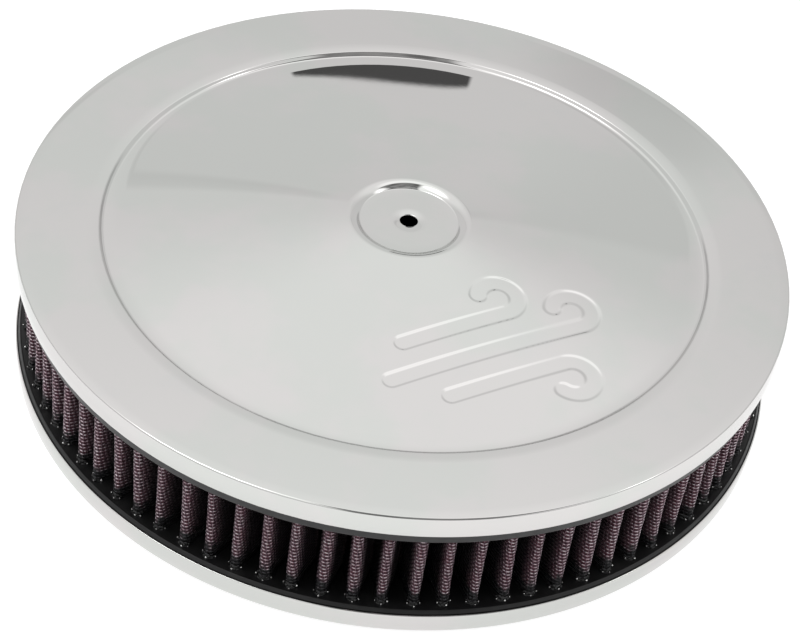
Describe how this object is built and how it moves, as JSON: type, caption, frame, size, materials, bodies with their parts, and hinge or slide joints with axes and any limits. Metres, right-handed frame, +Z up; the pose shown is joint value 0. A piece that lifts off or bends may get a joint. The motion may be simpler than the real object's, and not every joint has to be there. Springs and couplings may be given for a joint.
{
  "type": "round air filter housing",
  "caption": "Round open-element air cleaner: domed chrome lid and base pan clamping a pleated cotton gauze filter ring between moulded end rings.",
  "frame": {"origin": "on the centre axis, on the plane that the base pan stands on", "axes": "+Z up along the centre axis, from the base pan to the lid; X and Y are equivalent, -Y is the front"},
  "size_m": [0.3556, 0.3556, 0.0796],
  "materials": {
    "chromed_steel": "mirror polished chrome plate on pressed steel sheet",
    "gasket_rubber": "flat cut sheet, matt",
    "moulded_polyurethane": "moulded soft black polyurethane, semi-gloss",
    "coated_wire": "fine woven wire, clear coated and tinted by filter oil",
    "oiled_cotton_gauze": "open cotton weave wetted with red filter oil",
    "clip_metal": "folded strip, mill finish"
  },
  "bodies": {
    "base": {"base_pan": "chromed_steel", "neck_gasket": "gasket_rubber"},
    "element": {"lower_end_ring": "moulded_polyurethane", "upper_end_ring": "moulded_polyurethane", "outer_wire_screen": "coated_wire", "outer_gauze_ply": "oiled_cotton_gauze", "inner_gauze_ply": "oiled_cotton_gauze", "inner_wire_screen": "coated_wire", "seam_clip": "clip_metal"},
    "lid": {"lid": "chromed_steel"}
  },
  "joints": [
    {"name": "element_lift", "type": "slide", "parent": "base", "child": "element", "axis": [0, 0, 1], "range_m": [0, 0.09]},
    {"name": "lid_lift", "type": "slide", "parent": "element", "child": "lid", "axis": [0, 0, 1], "range_m": [0, 0.12]}
  ]
}
